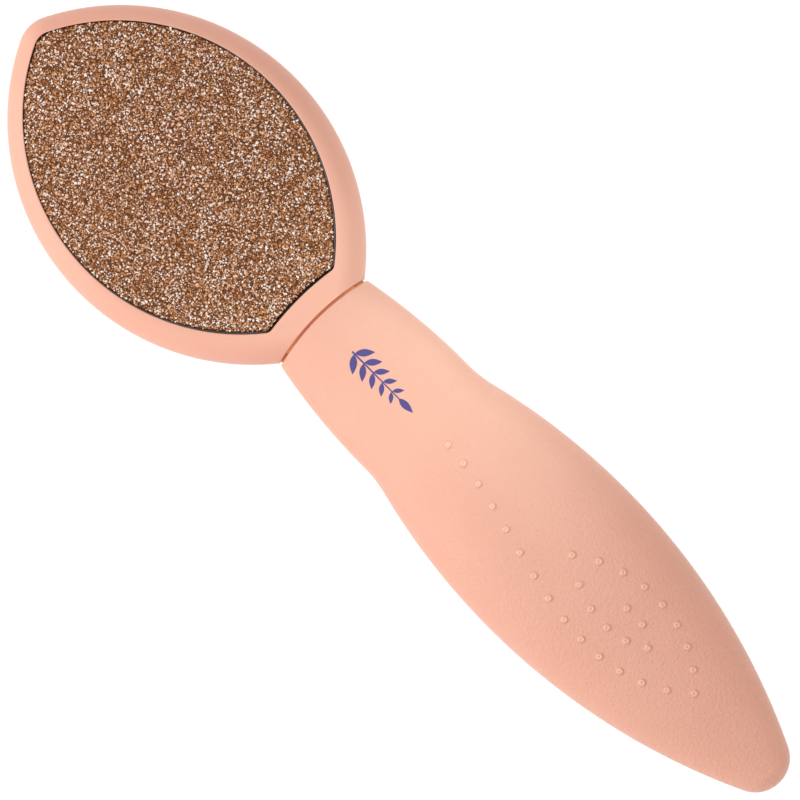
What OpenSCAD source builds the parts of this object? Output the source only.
// Double-sided paddle foot file: a leaf-shaped head with a coarse and a fine
// abrasive pad, on a hollow two-shell handle that clamps the head's tang.
//
// Frame: +X runs along the tool towards the tip of the head, +Y across it and +Z out
// of the coarse side. The origin is under the middle of the tool, at its lowest level.

/* [Overall] */
// Length from the tip of the head to the end of the tail
overall_l = 190; // [185:1:195]

/* [Head] */
// Radius of each of the two arcs that make the leaf outline
leaf_r = 43.7; // [43:0.1:45]
// Distance of each arc's centre from the centre line
leaf_offset = 16.5; // [16:0.1:17]
// Distance of the arcs' centres from the tip of the head
leaf_from_tip = 39.95; // [39.8:0.05:40.1]
// Radius of the large arc that blunts the leaf's point
leaf_tip_r = 60; // [50:1:70]
// Thickness of the head frame
head_t = 9.6; // [9.2:0.1:10]
// Thickness of the web between the two pad recesses
web_t = 2.4; // [2:0.1:2.8]

/* [Pads] */
// Radius of the two arcs that make the outline of the pad recess
recess_r = 39; // [38.5:0.1:39.4]
// Distance of each recess arc's centre from the centre line
recess_offset = 15.3; // [15:0.1:15.6]
// Distance of the recess arcs' centres from the tip of the head
recess_from_tip = 38.3; // [38:0.1:38.6]
// Distance of the recess's rear edge from the tip of the head
recess_rear_from_tip = 68.6; // [68:0.1:69]
// Radius of the recess's rear edge, which is indented towards the tip
recess_rear_r = 52; // [46:1:60]
// Gap between the edge of the pad and the wall of its recess
pad_gap = 0.3; // [0.2:0.05:0.5]
// How far the pads sit from the middle of their recess towards the tip
pad_shift = 0.15; // [0:0.05:0.15]
// Radius of the domed face of the pads
pad_dome_r = 430; // [380:10:600]
// Thickness of the adhesive tape under the backer plate
tape_t = 0.3; // [0.2:0.05:0.4]
// Thickness of the backer plate at the top of its dome
backer_t = 3.0; // [2.8:0.1:3.2]
// Thickness of the adhesive film under the abrasive sheet
film_t = 0.15; // [0.1:0.05:0.2]
// Thickness of the coarse abrasive sheet with its grit
coarse_sheet_t = 0.75; // [0.6:0.05:0.9]
// Thickness of the fine abrasive sheet with its grit
fine_sheet_t = 0.55; // [0.4:0.05:0.7]

/* [Handle] */
// Width of the handle at its belly
belly_w = 34.8; // [33:0.1:36]
// Thickness of the handle at its belly
belly_t = 15.6; // [15:0.1:17]
// Radius of the belly's side arcs, seen from above
belly_r = 124; // [120:1:130]
// Width of the handle's neck
neck_w = 26.1; // [25.5:0.1:26.5]
// Thickness of the handle's neck
neck_t = 11.2; // [10.8:0.1:11.6]
// Radius of the neck's side arcs, seen from above
neck_r = 118; // [110:1:126]
// Radius of the neck's long arcs, seen from the side
neck_side_r = 400; // [350:10:500]
// Radius of the tail, seen from above
tail_r = 6.2; // [5.8:0.1:6.6]
// Radius of the tail, seen from the side
tail_side_r = 3.4; // [3.2:0.1:3.8]
// Squareness of the handle's section: 2 is an ellipse
section_power = 2.3; // [2:0.1:2.6]
// Distance of the handle's front end from the tip of the head, at the centre line
seam_from_tip = 73.45; // [73.2:0.05:73.7]
// Radius of the handle's rounded front end
seam_r = 44; // [40:1:50]
// Width of the groove between the head and the handle
groove_w = 0.5; // [0.3:0.1:0.8]
// Half width of the land on the head that closes the groove
land_hw = 10.3; // [9.8:0.1:10.5]
// Half thickness of the land
land_hh = 4.6; // [4:0.1:4.7]

/* [Inside the handle] */
// Wall thickness of the two shells
wall = 2.2; // [2:0.1:2.4]
// Thickness of the wall across the handle's front end
front_wall = 4; // [3:0.5:5]
// Width of the tang
tang_w = 13; // [12:0.5:14]
// Thickness of the tang
tang_t = 4; // [3.6:0.1:4.4]
// How far the tang reaches into the handle
tang_l = 52; // [46:1:56]
// Width of the collar that fills the opening at the handle's front end
collar_w = 17; // [16:0.5:17.5]
// Thickness of the collar
collar_t = 6.6; // [6:0.1:7]
// Radius of the pegs that hold the tang and the shells together
peg_r = 2; // [1.8:0.1:2.2]
// Height of the lip that locates one shell in the other
lip_h = 0.9; // [0.7:0.1:1.2]
// Thickness of the stiffening ribs
rib_t = 1.4; // [1.2:0.1:1.8]

/* [Grip nubs] */
// Diameter of a nub where it meets the handle
nub_d = 1.35; // [1.2:0.05:1.6]
// Height of a nub above the handle
nub_h = 0.4; // [0.3:0.05:0.5]

/* [Hidden] */

$fn = 96;
big = 400;               // larger than anything it cuts
fit = 0.1;               // clearance where two parts slide together
peach = [0.95, 0.73, 0.64];
backer_black = [0.1, 0.09, 0.09];
tape_white = [0.9, 0.9, 0.86];
film_amber = [0.75, 0.62, 0.42];
coarse_brown = [0.5, 0.36, 0.26];
fine_tan = [0.72, 0.6, 0.48];

tip_x = overall_l / 2;
mid_z = belly_t / 2;     // height of the plane that both faces mirror about

// Head
leaf_x = tip_x - leaf_from_tip;
leaf_edge_r = head_t / 2;
recess_x = tip_x - recess_from_tip;
recess_rear_x = tip_x - recess_rear_from_tip;
recess_corner_r = 1.5;
recess_tip_r = 2.2;
seam_x = tip_x - seam_from_tip;

// Pad stack, measured outwards from the middle of the web
tape_z = web_t / 2;
backer_z = tape_z + tape_t;
backer_top_z = backer_z + backer_t;
film_top_z = backer_top_z + film_t;
dome_cap_h = backer_t + 2; // deep enough to hold every layer of the pad
tape_inset = 1;          // the tape stops short of the plate's edge

// Handle, from above: the belly's arc touches the tail's circle from outside
belly_hw = belly_w / 2;
neck_hw = neck_w / 2;
tail_x = tail_r - overall_l / 2;
belly_x = tail_x + sqrt(pow(belly_r - tail_r, 2) - pow(belly_r - belly_hw, 2));
neck_x = -2.5;
waist_blend = 0.8;
tail_turn = (tail_x - belly_x) / (belly_r - tail_r);

// Handle, from the side: the radius of the belly's arc follows from the tail's
belly_hh = belly_t / 2;
neck_hh = neck_t / 2;
tail_side_x = tail_side_r - overall_l / 2;
belly_side_r = (pow(belly_x - tail_side_x, 2) + pow(belly_hh, 2) - pow(tail_side_r, 2))
             / (2 * (belly_hh - tail_side_r));
neck_side_x = 6;
throat_blend = 0.9;
tail_side_turn = (tail_side_x - belly_x) / (belly_side_r - tail_side_r);

// Stations along the handle and points round each section
front_x = seam_x + 3;
skin_steps = [26, 7, 32];  // rings along the body, rings round the tail, points round a ring
core_steps = [15, 5, 20];  // the same for the surfaces inside the wall
tail_start_x = tail_x + tail_r * tail_turn;

// Inside the handle
tang_end_x = seam_x - tang_l;
peg_xs = [seam_x - 14, seam_x - 42];
boss_r = peg_r + 1.8;
joint_gap = 0.15;        // keeps the two shells' ribs from touching
peg_depth = 3.8;         // how far the pegs reach past the middle plane
head_overlap = 1;        // how far the collar and the land run into the head
land_r = (land_hw * land_hw + land_hh * land_hh) / (2 * land_hh);
rib_xs = [-48, -64, -78];

// Nubs: runs of [count, four control points of a cubic curve]; each run starts one
// step after the last point of the run before it
nub_runs = [
    [15, [[-6.4, -0.3], [-26.6, -2.1], [-53.7, 17.3], [-72.5, -0.4]]],
    [8, [[-72.5, -0.4], [-65.1, -8.7], [-50.4, -10.3], [-39.8, -2.3]]],
    [5, [[-39.8, -2.3], [-47.4, 3.4], [-55.3, 3.7], [-60.9, -0.2]]],
    [2, [[-60.9, -0.2], [-58.6, -2.4], [-56.1, -3.2], [-53.3, -2.5]]],
];

// ---- curves ----

// Larger of two values, with a soft transition k wide between them
function soft_max(a, b, k) = max(a, b) + pow(max(k - abs(a - b), 0), 2) / (4 * k);

// Height at x of an arc of radius r that peaks at [peak_x, peak], moved inwards by inset
function arc_at(x, r, peak_x, peak, inset) = sqrt(pow(r - inset, 2) - pow(x - peak_x, 2)) - (r - peak);

function circle_at(x, r, centre_x, inset) = sqrt(max(0, pow(r - inset, 2) - pow(x - centre_x, 2)));

// Half width and half height of the handle at x, inset by the given wall
function half_w(x, inset) =
    x < tail_x + (tail_r - inset) * tail_turn
        ? circle_at(x, tail_r, tail_x, inset)
        : soft_max(arc_at(x, belly_r, belly_x, belly_hw, inset),
                   arc_at(x, neck_r, neck_x, neck_hw, inset), waist_blend);

function half_h(x, inset) =
    x < tail_side_x + (tail_side_r - inset) * tail_side_turn
        ? circle_at(x, tail_side_r, tail_side_x, inset)
        : soft_max(arc_at(x, belly_side_r, belly_x, belly_hh, inset),
                   arc_at(x, neck_side_r, neck_side_x, neck_hh, inset), throat_blend);

// Height of the handle's surface above its middle plane at [x, y]
function surface_h(x, y) =
    half_h(x, 0) * pow(1 - pow(abs(y) / half_w(x, 0), section_power), 1 / section_power);

function signed_pow(v, p) = sign(v) * pow(abs(v), p);

function ring(x, inset, n) = [
    for (i = [0 : n - 1])
        let (a = 360 * i / n, p = 2 / section_power)
            [x, half_w(x, inset) * signed_pow(cos(a), p), half_h(x, inset) * signed_pow(sin(a), p)]
];

function cubic(p, t) =
    pow(1 - t, 3) * p[0] + 3 * t * pow(1 - t, 2) * p[1] + 3 * t * t * (1 - t) * p[2] + pow(t, 3) * p[3];

// ---- shared shapes ----

// Solid handle, inset by the given wall, as rings of points joined by triangles
module handle_solid(inset) {
    steps = inset == 0 ? skin_steps : core_steps;
    body_steps = steps[0];
    tail_steps = steps[1];
    n = steps[2];
    end_x = -overall_l / 2 + inset;
    // even steps along the body, then steps that close up towards the tail
    xs = [
        for (i = [0 : body_steps]) front_x + (tail_start_x - front_x) * i / body_steps,
        for (i = [1 : tail_steps - 1]) end_x + (tail_start_x - end_x) * (1 - sin(90 * i / tail_steps)),
    ];
    rings = len(xs);
    points = [for (x = xs) each ring(x, inset, n), [end_x, 0, 0]];
    sides = [
        for (j = [0 : rings - 2], i = [0 : n - 1])
            let (a = j * n + i, b = j * n + (i + 1) % n)
                each [[a, b, a + n], [b, b + n, a + n]]
    ];
    tail = [for (i = [0 : n - 1]) [(rings - 1) * n + i, (rings - 1) * n + (i + 1) % n, rings * n]];
    front = [[for (i = [0 : n - 1]) n - 1 - i]];
    polyhedron(points = points, faces = concat(sides, tail, front), convexity = 6);
}

// Everything behind the handle's rounded front end, and the given distance in front of it
module behind_seam(reach = 0) {
    translate([seam_x - seam_r, 0, 0])
        cylinder(r = seam_r + reach, h = big, center = true, $fn = 180);
    translate([seam_x - seam_r - big, -big / 2, -big / 2]) cube(big);
}

module round_edged_disc(r, edge_r) {
    rotate_extrude($fn = 180)
        intersection() {
            union() {
                translate([0, -edge_r]) square([r - edge_r, 2 * edge_r]);
                translate([r - edge_r, 0]) circle(r = edge_r);
            }
            translate([0, -big / 2]) square(big);
        }
}

// Leaf with a fully rounded edge: two discs meet in a point, and a third one blunts it
module leaf_body() {
    intersection() {
        translate([leaf_x, leaf_offset, 0]) round_edged_disc(leaf_r, leaf_edge_r);
        translate([leaf_x, -leaf_offset, 0]) round_edged_disc(leaf_r, leaf_edge_r);
        translate([tip_x - leaf_tip_r, 0, 0]) round_edged_disc(leaf_tip_r, leaf_edge_r);
    }
}

// Outline of the recess, pulled in by the given gap: two side arcs, an indented rear
// edge, and small circles that round the tip and the two rear corners
module pad_outline(gap) {
    side_r = recess_r - gap;
    rear_r = recess_rear_r + gap;
    rear_cx = recess_rear_x - recess_rear_r;
    tip_reach = sqrt(pow(side_r - recess_tip_r, 2) - pow(recess_offset, 2));
    tip_cut_x = recess_x + tip_reach * side_r / (side_r - recess_tip_r);
    difference() {
        intersection() {
            translate([recess_x, recess_offset]) circle(r = side_r, $fn = 180);
            translate([recess_x, -recess_offset]) circle(r = side_r, $fn = 180);
            translate([tip_cut_x - big, -big / 2]) square(big);
        }
        translate([rear_cx, 0]) circle(r = rear_r, $fn = 180);
        for (side = [-1, 1])
            polygon([for (p = corner_cut(side_r, rear_r, rear_cx)) [p[0], side * p[1]]]);
    }
    translate([recess_x + tip_reach, 0]) circle(r = recess_tip_r);
    corner = corner_centre(side_r, rear_r, rear_cx);
    for (side = [-1, 1])
        translate([corner[0], side * corner[1]]) circle(r = recess_corner_r);
}

// Centre of the circle that touches a side arc from inside and the rear arc from outside
function corner_centre(side_r, rear_r, rear_cx) =
    let (a = side_r - recess_corner_r,
         b = rear_r + recess_corner_r,
         along = [recess_x - rear_cx, -recess_offset],
         l = norm(along),
         u = along / l,
         m = (b * b - a * a + l * l) / (2 * l),
         n = sqrt(b * b - m * m))
        [rear_cx + m * u[0] - n * u[1], m * u[1] + n * u[0]];

// Triangle that takes the sharp corner off, from one touching point to the other
function corner_cut(side_r, rear_r, rear_cx) =
    let (c = corner_centre(side_r, rear_r, rear_cx),
         side_c = [recess_x, -recess_offset],
         rear_c = [rear_cx, 0],
         t1 = side_c + (c - side_c) * side_r / (side_r - recess_corner_r),
         t2 = rear_c + (c - rear_c) * rear_r / (rear_r + recess_corner_r),
         out = (t1 + t2) / 2 - c)
        [t1, t2, c + out * 5 * recess_corner_r / norm(out)];

// Cap of a large sphere, highest at the given height over the widest part of the pad
module pad_dome(top_z) {
    translate([recess_x, 0, top_z])
        rotate_extrude($fn = 180)
            intersection() {
                translate([0, -pad_dome_r]) circle(r = pad_dome_r, $fn = 720);
                translate([0, -dome_cap_h]) square([recess_r, dome_cap_h]);
            }
}

// Leaf-shaped slab with a flat bottom and a domed top
module domed_slab(low_z, top_z) {
    intersection() {
        translate([pad_shift, 0, low_z]) linear_extrude(top_z - low_z) pad_outline(pad_gap);
        pad_dome(top_z);
    }
}

// Sheet of even thickness that lies on a dome
module domed_sheet(low_z, thickness) {
    difference() {
        domed_slab(backer_z, low_z + thickness);
        pad_dome(low_z);
    }
}

// Puts a pad piece on the coarse side, facing up, or on the fine side, facing down
module on_side(face) {
    translate([0, 0, mid_z]) rotate([face == "fine" ? 180 : 0, 0, 0]) children();
}

module plate_tape(face) {
    color(tape_white)
        on_side(face)
            translate([pad_shift, 0, tape_z]) linear_extrude(tape_t) pad_outline(pad_gap + tape_inset);
}

module backer_plate(face) {
    color(backer_black) on_side(face) domed_slab(backer_z, backer_top_z);
}

module adhesive_film(face) {
    color(film_amber) on_side(face) domed_sheet(backer_top_z, film_t);
}

module abrasive_sheet(face, thickness, tint) {
    color(tint) on_side(face) domed_sheet(film_top_z, thickness);
}

// ---- head ----

module peg_holes(r) {
    for (x = peg_xs) translate([x, 0, 0]) cylinder(r = r, h = big, center = true);
}

// Lens-shaped land on the head's rear face, which closes the groove to look through
module groove_land() {
    intersection() {
        translate([0, 0, land_r - land_hh]) rotate([0, 90, 0]) cylinder(r = land_r, h = big, center = true);
        translate([0, 0, land_hh - land_r]) rotate([0, 90, 0]) cylinder(r = land_r, h = big, center = true);
        difference() {
            translate([seam_x - seam_r, 0, 0])
                cylinder(r = seam_r + head_overlap, h = big, center = true, $fn = 180);
            behind_seam(fit);
        }
    }
}

module head_frame() {
    color(peach) translate([0, 0, mid_z]) {
        difference() {
            leaf_body();
            behind_seam(groove_w);
            for (side = [0, 1]) mirror([0, 0, side])
                translate([0, 0, web_t / 2]) linear_extrude(head_t) pad_outline(0);
        }
        groove_land();
        // collar that fills the opening in the handle's front end
        translate([seam_x - front_wall, -collar_w / 2, -collar_t / 2])
            cube([front_wall + head_overlap, collar_w, collar_t]);
        // tang, with a hole for each peg
        difference() {
            translate([tang_end_x, -tang_w / 2, -tang_t / 2])
                cube([seam_x - tang_end_x, tang_w, tang_t]);
            peg_holes(peg_r + fit);
        }
    }
}

// ---- handle ----

module half_space() {
    translate([-big / 2, -big / 2, 0]) cube(big);
}

// Handle's skin on the side where z is positive, cut to the rounded front end
module half_skin() {
    intersection() {
        handle_solid(0);
        behind_seam();
        half_space();
    }
}

// The handle's hollow, with its ribs and bosses standing in it
module hollow() {
    difference() {
        intersection() {
            handle_solid(wall);
            translate([seam_x - front_wall - big, -big / 2, -big / 2]) cube(big);
        }
        for (x = rib_xs)
            translate([x - rib_t / 2, -belly_w / 2, joint_gap]) cube([rib_t, belly_w, belly_t]);
        for (x = peg_xs)
            translate([x, 0, tang_t / 2 + fit / 2]) cylinder(r = boss_r, h = belly_t);
    }
}

// Opening in the front wall for the head's collar
module collar_opening() {
    translate([seam_x - front_wall - 1, -collar_w / 2 - fit, -collar_t / 2 - fit])
        cube([front_wall + 2, collar_w + 2 * fit, collar_t + 2 * fit]);
}

// Inner part of the wall along the joint, where one shell's lip enters the other's rebate
module lip_solid(slack) {
    intersection() {
        handle_solid(wall / 2 - slack);
        translate([seam_x - front_wall - big, -big / 2, -lip_h - slack])
            cube([big, big, 2 * (lip_h + slack)]);
    }
}

module nub(x, y) {
    sphere_r = (pow(nub_d / 2, 2) + nub_h * nub_h) / (2 * nub_h);
    translate([x, y, surface_h(x, y) + nub_h - sphere_r]) sphere(r = sphere_r, $fn = 24);
}

module nubs() {
    for (run = nub_runs)
        for (i = [1 : run[0]]) {
            at = cubic(run[1], i / run[0]);
            nub(at[0], at[1]);
        }
}

module handle_front_shell() {
    color(peach) translate([0, 0, mid_z]) {
        difference() {
            half_skin();
            hollow();
            lip_solid(fit);
            collar_opening();
        }
        nubs();
        // pegs, through the tang and into the other shell's sockets
        for (x = peg_xs)
            translate([x, 0, -peg_depth]) cylinder(r = peg_r, h = peg_depth + tang_t / 2 + 1);
    }
}

module handle_back_shell() {
    color(peach) translate([0, 0, mid_z]) mirror([0, 0, 1])
        difference() {
            union() {
                half_skin();
                lip_solid(0);
            }
            hollow();
            collar_opening();
            for (x = peg_xs)
                translate([x, 0, 0]) cylinder(r = peg_r + fit / 2, h = peg_depth + fit);
        }
}

head_frame();
plate_tape("coarse");  // coarse_plate_tape
backer_plate("coarse");  // coarse_backer_plate
adhesive_film("coarse");  // coarse_adhesive_film
abrasive_sheet("coarse", coarse_sheet_t, coarse_brown);  // coarse_abrasive_sheet
plate_tape("fine");  // fine_plate_tape
backer_plate("fine");  // fine_backer_plate
adhesive_film("fine");  // fine_adhesive_film
abrasive_sheet("fine", fine_sheet_t, fine_tan);  // fine_abrasive_sheet
handle_front_shell();
handle_back_shell();
